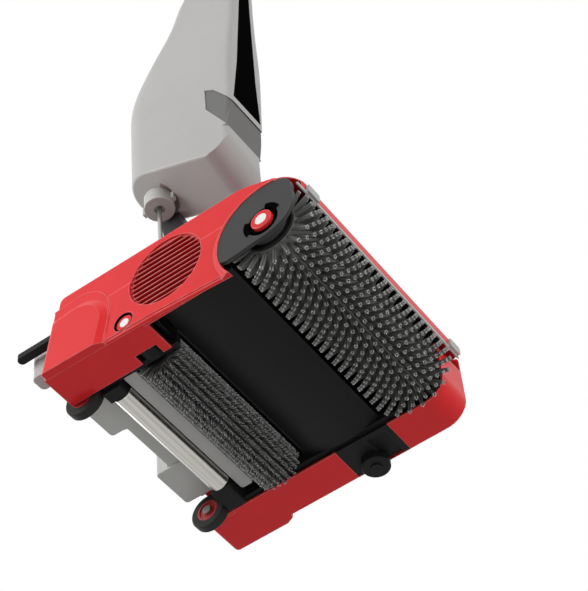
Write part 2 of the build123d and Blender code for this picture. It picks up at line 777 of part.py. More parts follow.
def make_casing():
    nodes["chassis"] = chassis()
    nodes["top_cover"] = top_cover()
    nodes["right_side_cover"] = right_side_cover()
    nodes["left_side_cover"] = left_side_cover()
    nodes["vent_grille"] = vent_grille()
    nodes["motor_guard"] = motor_guard()
    nodes["front_lip"] = front_lip()
    nodes["end_plate"] = end_plate()
    outer = -panel_x - end_plate_proud
    web = outer + end_hub_depth - end_web
    front = (front_axis_y, front_axis_z)
    rear = (rear_axis_y, rear_axis_z)
    catch = lock_ring(*front, front_lock_radius, front_button_radius, outer + 1, web)
    for middle in (0, 130):
        catch += arc_wall(*front, front_lock_radius - 2, front_lock_radius + 4.5, middle - 26, middle + 26, outer - 1.2,
                          outer)
        catch += arc_wall(*front, front_lock_radius - 2, front_lock_radius, middle - 26, middle + 26, outer, outer + 2)
    nodes["front_lock_ring"] = catch
    button, insert = release_button(*front, front_button_radius, front_insert_radius, outer - front_button_proud,
                                    web - button_travel - 0.2)
    nodes["front_release_button"] = button
    nodes["front_button_insert"] = insert
    face = -panel_x + 0.6
    back = -(panel_x - panel_wall - 9)
    cup = lock_ring(*rear, rear_lock_radius, rear_button_radius, face, back)
    cup += ring(*rear, brush_shaft_radius + free_gap, rear_lock_radius, back, back + 2)
    nodes["rear_lock_ring"] = cup
    button, insert = release_button(*rear, rear_button_radius, rear_insert_radius, face + 1.5,
                                    back - button_travel - 0.3)
    nodes["rear_release_button"] = button
    nodes["rear_button_insert"] = insert


# Rear end

def wheel(side):
    near = plate_outer_x - wheel_gap - wheel_width
    far = plate_outer_x - wheel_gap
    x0, x1 = (near, far) if side > 0 else (-far, -near)
    z = wheel_radius
    tyre = ring(wheel_y, z, hub_radius, wheel_radius, x0, x1)
    tyre = fillet(tyre.edges().filter_by(GeomType.CIRCLE).group_by(SortBy.RADIUS)[-1], 3.0)
    hub = ring(wheel_y, z, wheel_bolt_radius + running_clearance, hub_radius, x0, x1)
    dish = ring(wheel_y, z, 7.0, hub_radius - 2.5, x0, x0 + 1.5) if side > 0 else \
        ring(wheel_y, z, 7.0, hub_radius - 2.5, x1 - 1.5, x1)
    inner_end = x0 if side > 0 else x1
    outer_end = side * (plate_outer_x + panel_wall)
    head_end = inner_end - side * (2.0 + free_gap)
    bolt = rod(wheel_y, z, wheel_bolt_radius, min(head_end, outer_end), max(head_end, outer_end))
    head_near = inner_end - side * free_gap
    bolt += rod(wheel_y, z, 6.0, min(head_end, head_near), max(head_end, head_near))
    return tyre, hub - dish, bolt


def roller_bracket(side):
    x0 = 1.0 + (roller_left if side > 0 else -roller_right)
    outline = polygon((roller_y - 11, 13), (roller_y + 15, 13), (plate_rear_y + 1, 30), (plate_rear_y + 1, 66),
                      (roller_y - 12, 66), radius=3.0)
    bracket = slab(outline, x0, plate_inner_x)
    bracket -= rod(roller_y, roller_z, roller_shaft_radius + running_clearance, x0, plate_inner_x - 4)
    return bracket if side > 0 else mirror(bracket, about=Plane.YZ)


def drying_roller():
    roller = rod(roller_y, roller_z, roller_radius, roller_right, roller_left)
    roller = fillet(roller.edges().filter_by(GeomType.CIRCLE), 1.0)
    return roller - rod(roller_y, roller_z, roller_shaft_radius, roller_right, roller_left)


def ramp():
    rear = roller_y - roller_radius - 1.0
    strip = block(-plate_inner_x + ramp_right_gap, plate_inner_x - ramp_left_gap, ramp_front_y, rear, ramp_z,
                  ramp_z + ramp_thickness)
    strip = fillet(strip.edges().filter_by(Axis.Z), 4.0)
    flange = block(-plate_inner_x, plate_inner_x, rear - 3, rear, ramp_z + ramp_thickness, 62)
    flange -= block(plate_inner_x - ramp_left_gap, plate_inner_x, rear - 3, rear, ramp_z, ramp_tab_z)
    return strip + flange


def recovery_tank():
    wall = tank_wall
    half = tank_half
    bridge = tank_bottom + tank_bridge_lift
    tank = block(-half, half, tank_front_y, tank_foot_rear_y, tank_bottom, tank_top)
    tank -= block(-tank_notch_half, tank_notch_half, tank_notch_y, tank_foot_rear_y, tank_bottom, tank_top)
    tank = fillet(tank.edges().filter_by(Axis.Z), 5.0)
    tank = fillet(tank.faces().sort_by(Axis.Z)[0].edges(), 1.6)
    spout = block(spout_x, spout_x + spout_width, spout_front_y, spout_rear_y, spout_low_z, spout_top)
    spout = fillet(spout.edges().filter_by(Axis.Z).group_by(Axis.Y)[-1], 6.0)
    tank += spout
    tank += block(spout_x, -half + wall, spout_front_y, tank_foot_rear_y, spout_arm_z, spout_top)
    tank -= block(-half + wall, half - wall, tank_front_y + wall, tank_notch_y - wall, bridge + wall, tank_top)
    inner = tank_notch_half + wall
    outer = half - wall
    for x0 in (-outer, inner):
        tank -= block(x0, x0 + outer - inner, tank_front_y + wall, tank_foot_rear_y - wall, tank_bottom + wall, tank_top)
    tank -= block(spout_x + wall, spout_x + spout_width - wall, spout_front_y + wall, spout_rear_y - wall,
                  spout_low_z + wall, spout_top)
    tank -= block(spout_x + wall, -outer, spout_front_y + wall, tank_foot_rear_y - wall, spout_arm_z + wall, spout_top)
    for x0 in (-half - tank_runner_reach, half - 1):
        tank += block(x0, x0 + tank_runner_reach + 1, plate_rear_y + 10, plate_rear_y + rail_length + 8,
                      tank_runner_z, tank_runner_z + tank_runner_height)
    return tank - block(-tank_notch_half, tank_notch_half, tank_bridge_y, tank_foot_rear_y, tank_bottom - 1, bridge)


def make_rear():
    bolts = []
    for side, name in ((-1, "right"), (1, "left")):
        tyre, hub, bolt = wheel(side)
        nodes[name + "_wheel_tyre"] = tyre
        nodes[name + "_wheel_hub"] = hub
        bolts.append(bolt)
    nodes["wheel_bolts"] = Compound(bolts)
    nodes["roller_brackets"] = Compound([roller_bracket(-1), roller_bracket(1)])
    nodes["drying_roller"] = drying_roller()
    reach = plate_inner_x - 4.5
    nodes["roller_shaft"] = rod(roller_y, roller_z, roller_shaft_radius, -reach, reach)
    nodes["ramp"] = ramp()
    nodes["recovery_tank"] = recovery_tank()


def make_foot_lever():
    x0 = lever_x - lever_width / 2
    x1 = lever_x + lever_width / 2
    half = lever_thickness / 2
    blade = block(x0, x1, lever_y, lever_tip_y, lever_z - half, lever_z + half)
    blade = fillet(blade.faces().sort_by(Axis.Y)[-1].edges().filter_by(Axis.Z), 5.0)
    blade += rod(lever_y, lever_z, lever_hub_radius, x0, x1)
    nodes["foot_lever"] = blade - rod(lever_y, lever_z, lever_pin_radius + running_clearance, x0, x1)
    nodes["foot_lever_pin"] = rod(lever_y, lever_z, lever_pin_radius, -(panel_x - panel_wall),
                                  -plate_outer_x - panel_wall)


def make_guide_roller():
    top = guide_low_z + guide_height
    roller = post(guide_x, guide_y, guide_radius, guide_low_z, top)
    roller = fillet(roller.edges().filter_by(GeomType.CIRCLE), 2.0)
    nodes["guide_roller"] = roller - post(guide_x, guide_y, guide_pin_radius + running_clearance, guide_low_z, top)
    pin = post(guide_x, guide_y, guide_pin_radius, guide_low_z - 2.5, guide_bracket_top - 4)
    pin += post(guide_x, guide_y, 7.0, guide_low_z - 2.5, guide_low_z - free_gap)
    nodes["guide_roller_pin"] = pin
    bracket = block(plate_outer_x, panel_x - panel_wall, guide_bay[0], guide_bay[1], top + free_gap,
                    guide_bracket_top)
    bracket -= block(plate_outer_x + 6, guide_bay_outer_x, guide_bay[0] + 8, guide_y - 10, top, head_bottom + 5)
    nodes["guide_roller_bracket"] = bracket - post(guide_x, guide_y, guide_pin_radius, 0, guide_bracket_top - 4)


# Neck and column

def column_front(z):
    return column_front_y - (z - column_low_z) * lean


def column_section(z, half, rear, inset):
    half -= inset
    rear -= inset
    front = column_front(z) + inset
    corner = max(column_corner - inset, 2.0)
    middle = rear - half
    bow = half * math.sqrt(0.5)
    round_off = corner * (1 - math.sqrt(0.5))
    edges = [
        Line((-half + corner, front), (half - corner, front)),
        ThreePointArc((half - corner, front), (half - round_off, front + round_off), (half, front + corner)),
        Line((half, front + corner), (half, middle)),
        ThreePointArc((half, middle), (bow, middle + bow), (0, rear)),
        ThreePointArc((0, rear), (-bow, middle + bow), (-half, middle)),
        Line((-half, middle), (-half, front + corner)),
        ThreePointArc((-half, front + corner), (-half + round_off, front + round_off), (-half + corner, front)),
    ]
    return Plane.XY.offset(z) * make_face(edges)


def column_form(inset):
    foot = column_section(column_foot_z, column_side, column_rear_y, inset)
    sections = [column_section(z, half, rear, inset) for z, half, rear in column_sections]
    return loft([foot, sections[0]], ruled=True) + loft(sections)


def column_bottom(y):
    # height of the sloping bottom in the middle of the column
    return column_low_z + (y - column_front_y - lower_front_setback) * bottom_slope


def below_column(lift, toe=0):
    # everything under the sloping bottom, raised by lift, rounded by toe at its front edge
    front = column_front_y + lower_front_setback
    kept = [(front, band_low_z + lift), (front, column_bottom(front) + lift), (400, column_bottom(400) + lift),
            (400, band_low_z + 400), (front, band_low_z + 400)]
    profile = polygon(*kept, radius=[0, toe, 0, 0, 0] if toe else 0)
    around = polygon((front, 50), (400, 50), (400, band_low_z + 50), (front, band_low_z + 50))
    pivot = Pos(0, 0, column_low_z)
    return pivot * Rot(0, column_bottom_tilt, 0) * pivot.inverse() * slab(around - profile, -150, 150)


def band_outline(grow):
    front = column_front(556)
    low = column_front_y + lower_front_setback
    notch = polygon((67, 611), (53, 601), (front - 3, 556), (front - 20, 556), (front - 20, band_low_z - 1),
                    (low, band_low_z - 1), (67, 567))
    return offset(notch, grow, kind=Kind.INTERSECTION) if grow else notch


def front_prism(margin):
    right = [(half - margin, z) for half, z in front_cover_outline]
    left = [(-half, z) for half, z in reversed(right)]
    outline = make_face(Polyline(*right, *left, close=True))
    return extrude(Plane.XZ * outline, amount=300, both=True)


def front_layer(near, far):
    low, high = 500, 1000
    return slab(polygon((column_front(low) + near, low), (column_front(high) + near, high),
                        (column_front(high) + far, high), (column_front(low) + far, low)), -60, 60)


def tube_axis():
    return Plane(origin=(0, tube_foot[0], tube_foot[1]),
                 x_dir=(1, 0, 0),
                 z_dir=(0, math.sin(math.radians(tube_lean)), math.cos(math.radians(tube_lean))))


def lower_front(setback):
    # what is cut away in front of the column below the band, leaving rounded corners
    corner = column_corner
    round_off = corner * (1 - math.sqrt(0.5))
    half = column_side
    back = setback + corner
    edges = [
        Polyline((-half, back), (-90, back), (-90, -50), (90, -50), (90, back), (half, back)),
        ThreePointArc((half, back), (half - round_off, setback + round_off), (half - corner, setback)),
        Line((half - corner, setback), (-half + corner, setback)),
        ThreePointArc((-half + corner, setback), (-half + round_off, setback + round_off), (-half, back)),
    ]
    return extrude(Plane.XY.offset(300) * make_face(edges), amount=band_low_z - 300)


def column_shell():
    setback = column_front_y + lower_front_setback
    shell = column_form(0) - below_column(0) - lower_front(setback)
    downward = shell.faces().filter_by(lambda face: face.normal_at().Z < -0.8)
    shell = fillet(downward.sort_by(SortBy.AREA)[-1].edges(), column_rim_round)
    shell -= below_column(-0.02, column_toe_round)
    hollow = column_form(column_wall) - below_column(column_wall + 1, column_toe_round)
    hollow -= block(-60, 60, -50, setback + column_wall, 300, band_low_z)
    hollow -= slab(band_outline(column_wall), -60, 60)
    hollow -= block(-60, 60, -50, bay_wall_y + 3, shelf_z - shelf_thickness, shelf_z)
    hollow -= block(-60, 60, bay_wall_y, bay_wall_y + 3, shelf_z - shelf_thickness, tank_roof_z)
    hollow -= block(-60, 60, bay_wall_y, 300, tank_roof_z - 3, tank_roof_z)
    hollow -= block(-60, 60, -100, 300, column_top_z - column_wall, column_top_z + 50)
    shell -= hollow
    shell -= slab(band_outline(0), -60, 60)
    shell -= front_prism(0) & front_layer(-10, cover_inset_depth)
    shell += post(0, outlet_y, outlet_boss_radius, cap_low_z, outlet_boss_top) - below_column(0)
    shell -= post(0, outlet_y, lug_reach + cap_pocket_gap, cap_low_z - 50, cap_low_z + cap_height + 1)
    shell += post(0, outlet_y, outlet_radius, cap_low_z + cap_floor + 0.5, outlet_boss_top)
    shell -= post(0, outlet_y, pipe_radius, cap_low_z, outlet_boss_top)
    side = column_side
    shell += rod(filler_y, filler_z, filler_radius, side - column_wall, side + filler_neck)
    shell -= rod(filler_y, filler_z, filler_bore_radius, side - column_wall - 3, side + filler_neck)
    shell += rod(socket_y, socket_z, socket_boss_radius, side - socket_depth - 4, side - column_wall / 2)
    shell -= rod(socket_y, socket_z, socket_radius, side - socket_depth, side + 1)
    return shell - tube_axis() * Cylinder(tube_radius, 200, align=(Align.CENTER, Align.CENTER, Align.MIN))


def column_band():
    band = column_form(band_inset) & slab(band_outline(0), -60, 60)
    setback = column_front_y + lower_front_setback
    nose = polygon((setback + band_inset, band_low_z - 1), (column_front(556) + band_inset, 556), (-50, 556),
                   (-50, band_low_z - 1))
    return band - slab(nose, -60, 60)


def front_cover():
    return front_prism(0.2) & front_layer(cover_sink, cover_inset_depth)


def outlet_cap():
    top = cap_low_z + cap_height
    cap = post(0, outlet_y, cap_radius, cap_low_z, top)
    for side in (-1, 1):
        lug = block(-lug_width / 2, lug_width / 2, 0, lug_reach, cap_low_z + 5, top - 4)
        cap += Pos(0, outlet_y, 0) * Rot(0, 0, 0 if side > 0 else 180) * lug
    cap = fillet(cap.faces().sort_by(Axis.Z)[0].edges(), 0.8)
    cap -= post(0, outlet_y, outlet_radius + free_gap, cap_low_z + cap_floor, top)
    return cap - post(0, outlet_y, cap_hole_radius, cap_low_z, top)


def feed_pipe():
    top = (0, outlet_y, outlet_boss_top)
    bend = (0, outlet_y, pipe_bend_z)
    end = (0, hinge_y + 5, hinge_z + barrel_radius - 3)
    path = FilletPolyline(top, bend, end, radius=pipe_bend_radius)
    section = Plane(origin=top, z_dir=(0, 0, -1)) * Circle(pipe_radius)
    return sweep(section, path=path)


def neck():
    outline = polygon((173, 540), (157, 459), (140, 400), (hinge_y - barrel_radius, 230),
                      (hinge_y - barrel_radius, hinge_z), (hinge_y + barrel_radius, hinge_z),
                      (hinge_y + barrel_radius + 4, 230), (184, 400), (198, 540))
    arm = slab(outline, arm_inner_x, barrel_half)
    arm = fillet(arm.edges().filter_by(Axis.X), 5.0)
    arm &= below_column(0)
    arm += rod(hinge_y, hinge_z, barrel_radius, -barrel_half, barrel_half)
    arm -= rod(hinge_y, hinge_z, hinge_pin_radius + running_clearance, -barrel_half, barrel_half)
    return arm - feed_pipe()


def hinge_bracket():
    inner = barrel_half + free_gap
    base = block(-inner - ear_thickness - 14, inner + ear_thickness + 14, hinge_y - 32, hinge_y + 32, head_top,
                 head_top + bracket_thickness)
    base = fillet(base.edges().filter_by(Axis.Z), 8.0)
    for x0 in (-inner - ear_thickness, inner):
        foot = head_top + bracket_thickness
        ear = polygon((hinge_y - 24, foot), (hinge_y + 24, foot), (hinge_y + barrel_radius, hinge_z),
                      (hinge_y - barrel_radius, hinge_z))
        base += slab(ear, x0, x0 + ear_thickness)
        base += rod(hinge_y, hinge_z, barrel_radius, x0, x0 + ear_thickness)
        base -= rod(hinge_y, hinge_z, hinge_pin_radius, x0, x0 + ear_thickness)
    return base


def make_neck():
    reach = barrel_half + free_gap + ear_thickness + 2
    nodes["hinge_bracket"] = hinge_bracket()
    nodes["hinge_pin"] = rod(hinge_y, hinge_z, hinge_pin_radius, -reach, reach)
    top = head_top + bracket_thickness
    screws = []
    side = barrel_half + free_gap + ear_thickness + 7
    for x in (-side, side):
        for y in (hinge_y - 27, hinge_y + 27):
            head = post(x, y, hinge_screw_radius, top, top + hinge_screw_height)
            head = fillet(head.faces().sort_by(Axis.Z)[-1].edges(), 1.2)
            screws.append(head - Pos(x, y, top + 1.4) * extrude(RegularPolygon(2.2, 6), amount=3))
    nodes["hinge_screws"] = Compound(screws)
    nodes["neck"] = neck()
    nodes["feed_pipe"] = feed_pipe()


def make_column():
    nodes["column_shell"] = column_shell()
    nodes["column_band"] = column_band()
    nodes["front_cover"] = front_cover()
    nodes["outlet_cap"] = outlet_cap()
    width, depth, height = battery_size
    y0 = bay_wall_y - depth
    pack = block(-width / 2 - 8, width / 2 - 8, y0, bay_wall_y, shelf_z, shelf_z + height)
    nodes["battery_pack"] = fillet(pack.edges().filter_by(Axis.Z), 4.0)
    side = column_side + free_gap
    cap = rod(filler_y, filler_z, filler_cap_radius, side, side + filler_cap_height)
    for index in range(12):
        turn = 2 * math.pi * index / 12
        groove = rod(filler_y + (filler_cap_radius + 0.8) * math.cos(turn),
                     filler_z + (filler_cap_radius + 0.8) * math.sin(turn), 2.2, side, side + filler_cap_height)
        cap -= groove
    nodes["filler_cap"] = cap - rod(filler_y, filler_z, filler_radius + free_gap, side, side + filler_neck + 0.5)


# Handle

def grip_frame():
    foot = tube_axis()
    top = foot.origin + foot.z_dir * tube_length
    tilt = math.radians(grip_tilt)
    return Plane(origin=top, x_dir=(0, math.cos(tilt), math.sin(tilt)), z_dir=(1, 0, 0))


def grip_slab(a0, a1, b0, b1, half, radius=0.0):
    points = ((a0, b0), (a1, b0), (a1, b1), (a0, b1))
    return extrude(grip_frame() * polygon(*points, radius=radius), amount=half, both=True)


def grip():
    loop = grip_slab(*grip_outer, grip_half, grip_outer_round)
    loop -= grip_slab(*grip_inner, grip_half + 1, grip_inner_round)
    loop = fillet(loop.faces().sort_by(Axis.X)[0].edges() + loop.faces().sort_by(Axis.X)[-1].edges(),
                  grip_edge_round)
    axis = tube_axis()
    socket = Plane(origin=axis.origin + axis.z_dir * (tube_length - grip_socket), x_dir=(1, 0, 0), z_dir=axis.z_dir)
    loop += socket * Cylinder(tube_radius + 3.5, grip_socket, align=(Align.CENTER, Align.CENTER, Align.MIN))
    loop -= axis * Cylinder(tube_radius, tube_length, align=(Align.CENTER, Align.CENTER, Align.MIN))
    loop -= grip_slab(*grip_inner, grip_half + 1, grip_inner_round)
    loop -= grip_slab(*trigger_slot, trigger_half + free_gap)
    frame = grip_frame()
    loop -= frame * Pos(*trigger_pin) * Cylinder(trigger_pin_radius + running_clearance, 2 * (trigger_half + 5))
    top = grip_outer[3]
    button = Plane(origin=frame.from_local_coords((power_at, top - power_depth, 0)), z_dir=frame.y_dir)
    loop -= button * Cylinder(power_radius + free_gap, 40, align=(Align.CENTER, Align.CENTER, Align.MIN))
    return loop - grip_slab(panel_plate[0], panel_plate[1], top - panel_plate_depth, top + 5, panel_plate_half)


def make_handle():
    axis = tube_axis()
    tube = Cylinder(tube_radius, tube_length, align=(Align.CENTER, Align.CENTER, Align.MIN))
    tube -= Cylinder(tube_bore_radius, tube_length, align=(Align.CENTER, Align.CENTER, Align.MIN))
    nodes["handle_tube"] = axis * tube
    nodes["grip"] = grip()
    frame = grip_frame()
    top = grip_outer[3]
    low = grip_inner[3]
    a, b = trigger_pin
    lever = polygon((a - 5, b + 4), (a + 36, b + 4), (a + 36, low - 4), (a + 30, low - 7), (a + 8, low - 4),
                    (a - 5, b - 3), radius=[2.0, 2.0, 2.0, 4.0, 3.0, 2.0])
    trigger = extrude(frame * lever, amount=trigger_half, both=True)
    nodes["trigger"] = trigger + frame * Pos(a, b) * Cylinder(trigger_pin_radius, 2 * (trigger_half + 4.5))
    button = Plane(origin=frame.from_local_coords((power_at, top - power_depth + 2, 0)), z_dir=frame.y_dir)
    knob = Cylinder(power_radius, power_depth - 2 + power_proud, align=(Align.CENTER, Align.CENTER, Align.MIN))
    knob = fillet(knob.faces().sort_by(Axis.Z)[-1].edges(), 1.0)
    nodes["power_button"] = button * knob
    nodes["control_panel"] = grip_slab(panel_plate[0], panel_plate[1], top - panel_plate_depth, top,
                                       panel_plate_half)


def export_nodes():
    os.makedirs("parts", exist_ok=True)
    for name, shape in nodes.items():
        export_step(Pos(0, -origin_y, 0) * shape, "parts/" + name + ".step")
    print(len(nodes), "nodes, origin at y", round(origin_y, 2))


make_casing()
make_brushes()
make_drive()
make_rear()
make_foot_lever()
make_guide_roller()
make_neck()
make_column()
make_handle()
export_nodes()
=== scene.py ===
import math
import random

import bpy
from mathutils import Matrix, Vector


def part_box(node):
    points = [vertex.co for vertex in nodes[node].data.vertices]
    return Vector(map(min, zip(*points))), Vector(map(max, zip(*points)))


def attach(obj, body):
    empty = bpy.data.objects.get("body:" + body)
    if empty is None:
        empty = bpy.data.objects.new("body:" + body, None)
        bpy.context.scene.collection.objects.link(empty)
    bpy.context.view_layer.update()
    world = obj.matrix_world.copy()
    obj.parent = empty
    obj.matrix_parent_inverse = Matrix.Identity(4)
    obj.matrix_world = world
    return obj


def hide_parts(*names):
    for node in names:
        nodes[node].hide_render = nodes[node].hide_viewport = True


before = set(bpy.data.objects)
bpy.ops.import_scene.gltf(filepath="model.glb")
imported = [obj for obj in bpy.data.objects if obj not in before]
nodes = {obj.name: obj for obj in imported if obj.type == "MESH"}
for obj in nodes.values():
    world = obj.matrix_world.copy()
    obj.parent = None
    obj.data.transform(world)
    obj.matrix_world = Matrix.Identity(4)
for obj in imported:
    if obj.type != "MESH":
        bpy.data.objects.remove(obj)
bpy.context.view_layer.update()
scene = bpy.context.scene
scene.view_settings.view_transform = "Standard"
mm = 0.001
print("frame loaded:", len(nodes), "nodes")


def hexColour(code):
    # sRGB hex to the linear values that the shaders take
    linear = []
    for start in (0, 2, 4):
        value = int(code[start:start + 2], 16) / 255
        linear.append(value / 12.92 if value <= 0.04045 else ((value + 0.055) / 1.055) ** 2.4)
    return (*linear, 1.0)


def addNode(tree, kind, inputs=None, **settings):
    node = tree.nodes.new(kind)
    for key, value in settings.items():
        setattr(node, key, value)
    for key, value in (inputs or {}).items():
        socket = node.inputs[key]
        if isinstance(value, bpy.types.NodeSocket):
            tree.links.new(value, socket)
        else:
            socket.default_value = value
    return node


def newMaterial(name):
    material = bpy.data.materials.new(name)
    material.use_nodes = True
    material.node_tree.nodes.clear()
    return material, material.node_tree


# Moulded plastics. A steel mould leaves a fine even grain, slow drifts of tone where the
# melt cooled and duller patches from handling. Edges are painted paler, partly as rubbing and partly as
# a painted highlight.
# grain is its width and soft the rounding of edges, both in mm; the grain of about 1 mm is
# coarser than a real mould's, so that it shows at all.
plastics = {
    # covers and buttons: smooth ABS, low gloss, with long pale highlights on its edges, partly painted
    # into the edge colour
    "redAbsMoulded": dict(colour="DF282B", deep="D42327", edge="F79A97", rough=0.32, grain=0.9,
                          bump=0.10, shine=0.16, coat=0.06, soft=1.8),
    # louvres: the same ABS painted a little darker as painted shade, and darkened further deeper in
    # along x by painted shade
    "ventRedAbsMoulded": dict(colour="D8262A", deep="C92024", edge="F7A19E", rough=0.38, grain=0.9,
                              bump=0.10, shine=0.25, coat=0.0, soft=0.7, dustAndShade="5E1B19"),
    # wheel hubs: the cover ABS painted darker, as painted shade
    "hubRedAbsPaintedShade": dict(colour="9A1B1F", deep="861619", edge="B43A3C", rough=0.42, grain=0.9,
                             bump=0.12, shine=0.25, coat=0.0, soft=0.7),
    # chassis, cores and pulleys: polypropylene, matt and a little waxy
    "blackPolypropylene": dict(colour="1B1B1B", deep="141414", edge="3A3A3A", rough=0.48, grain=1.1,
                               bump=0.22, shine=0.09, coat=0.0, soft=0.7),
    # column insert and lock rings: ABS that gives back almost no light
    "deepBlackAbs": dict(colour="0A0A0A", deep="070707", edge="161616", rough=0.60, grain=1.0,
                         bump=0.08, shine=0.0, coat=0.0, soft=0.7),
    # end plate and neck: dark grey ABS with a fine spark-eroded grain
    "charcoalAbsMoulded": dict(colour="3C3C3C", deep="343434", edge="646464", rough=0.45, grain=1.0,
                               bump=0.18, shine=0.15, coat=0.0, soft=0.7),
    # band round the column: mid grey ABS, satin
    "bandGreyAbs": dict(colour="6B6B69", deep="60605E", edge="9A9A98", rough=0.44, grain=1.0,
                        bump=0.14, shine=0.25, coat=0.0, soft=0.7),
    # column, ramp and front lip: light grey ABS, satin
    "lightGreyAbsMoulded": dict(colour="AFAEAC", deep="A6A5A3", edge="CFCECC", rough=0.42, grain=1.0,
                                bump=0.12, shine=0.30, coat=0.0, soft=0.7),
    # tank and outlet cap: polyethylene, softer sheen and a broader grain
    "greyPolyethylene": dict(colour="BDBDBA", deep="AFAFAC", edge="D2D2CF", rough=0.50, grain=1.4,
                             bump=0.15, shine=0.30, coat=0.0, soft=0.7),
    # button inserts: acetal, nearly white and slightly glossy
    "whiteAcetal": dict(colour="F2F1EE", deep="E6E5E1", edge="F6F5F3", rough=0.28, grain=0.6,
                        bump=0.05, shine=0.5, coat=0.0, soft=0.7),
    # grip: rubbery overmould, dry to the touch and dull
    "softTouchRubber": dict(colour="2B2B2C", deep="232324", edge="3A3A3A", rough=0.68, grain=0.7,
                            bump=0.35, shine=0.25, coat=0.0, soft=0.7),
}
# What all mouldings share: widths of tone drifts and handled patches and depth of grain in mm
mould = dict(drift=60, driftDetail=3.0, patch=14, patchDetail=5.0, grainDetail=2.0, grainDepth=0.05,
             glossier=0.06, duller=0.08, ior=1.5, coatRough=0.12, softSamples=4)
# Pale band painted along edges, partly rubbing and partly a painted highlight: width in mm, strength,
# how far the normals part there, and how the handled patches break it up
edgeWear = dict(reach=1.6, amount=0.7, samples=6, flat=0.998, sharp=0.93, patchLow=0.35,
                patchHigh=0.60, least=0.5)
# Painted shade in the louvres' depth, where shade falls between them
ventDepthShade = dict(start=0.14, full=0.45, amount=0.9)  # as shares of the grille's depth


def mouldedPlastic(name, look):
    material, tree = newMaterial(name)
    place = addNode(tree, "ShaderNodeTexCoord").outputs["Object"]
    drift = addNode(tree, "ShaderNodeTexNoise", {
        "Vector": place, "Scale": 1 / (mould["drift"] * mm), "Detail": mould["driftDetail"]})
    patches = addNode(tree, "ShaderNodeTexNoise", {
        "Vector": place, "Scale": 1 / (mould["patch"] * mm), "Detail": mould["patchDetail"]})
    grain = addNode(tree, "ShaderNodeTexNoise", {
        "Vector": place, "Scale": 1 / (look["grain"] * mm), "Detail": mould["grainDetail"]})
    colour = addNode(tree, "ShaderNodeMix", {
        "Factor": drift.outputs["Fac"], "A": hexColour(look["deep"]), "B": hexColour(look["colour"])},
        data_type="RGBA")
    if "dustAndShade" in look:  # painted shade between the louvres, darker inward along x
        whole = addNode(tree, "ShaderNodeTexCoord").outputs["Generated"]
        depth = addNode(tree, "ShaderNodeSeparateXYZ", {"Vector": whole}).outputs["X"]
        depthShade = addNode(tree, "ShaderNodeMapRange", {
            "Value": depth, "From Min": ventDepthShade["start"], "From Max": ventDepthShade["full"],
            "To Max": ventDepthShade["amount"]})
        colour = addNode(tree, "ShaderNodeMix", {
            "Factor": depthShade.outputs["Result"], "A": colour.outputs["Result"],
            "B": hexColour(look["dustAndShade"])}, data_type="RGBA")
    # painted edge band, partly wear and partly highlight: an edge is where the rounded normal parts
    # from the true one
    around = addNode(tree, "ShaderNodeBevel", {"Radius": edgeWear["reach"] * mm},
                     samples=edgeWear["samples"])
    facing = addNode(tree, "ShaderNodeNewGeometry").outputs["Normal"]
    match = addNode(tree, "ShaderNodeVectorMath", {0: around.outputs["Normal"], 1: facing},
                    operation="DOT_PRODUCT")
    edgeBand = addNode(tree, "ShaderNodeMapRange", {
        "Value": match.outputs["Value"], "From Min": edgeWear["flat"], "From Max": edgeWear["sharp"]})
    uneven = addNode(tree, "ShaderNodeMapRange", {
        "Value": patches.outputs["Fac"], "From Min": edgeWear["patchLow"],
        "From Max": edgeWear["patchHigh"], "To Min": edgeWear["least"], "To Max": 1.0})
    patchyEdgeBand = addNode(tree, "ShaderNodeMath", {0: edgeBand.outputs["Result"], 1: uneven.outputs["Result"]},
                    operation="MULTIPLY")
    wearAndHighlight = addNode(tree, "ShaderNodeMath", {0: patchyEdgeBand.outputs["Value"], 1: edgeWear["amount"]},
                   operation="MULTIPLY")
    wornAndHighlitColour = addNode(tree, "ShaderNodeMix", {
        "Factor": wearAndHighlight.outputs["Value"], "A": colour.outputs["Result"], "B": hexColour(look["edge"])},
        data_type="RGBA")
    rough = addNode(tree, "ShaderNodeMapRange", {
        "Value": patches.outputs["Fac"], "To Min": look["rough"] - mould["glossier"],
        "To Max": look["rough"] + mould["duller"]})
    soft = addNode(tree, "ShaderNodeBevel", {"Radius": look["soft"] * mm}, samples=mould["softSamples"])
    bump = addNode(tree, "ShaderNodeBump", {
        "Height": grain.outputs["Fac"], "Strength": look["bump"], "Distance": mould["grainDepth"] * mm,
        "Normal": soft.outputs["Normal"]})
    shader = addNode(tree, "ShaderNodeBsdfPrincipled", {
        "Base Color": wornAndHighlitColour.outputs["Result"], "Roughness": rough.outputs["Result"],
        "IOR": mould["ior"], "Specular IOR Level": look["shine"], "Coat Weight": look["coat"],
        "Coat Roughness": mould["coatRough"], "Normal": bump.outputs["Normal"]})
    addNode(tree, "ShaderNodeOutputMaterial", {"Surface": shader.outputs["BSDF"]})
    return material


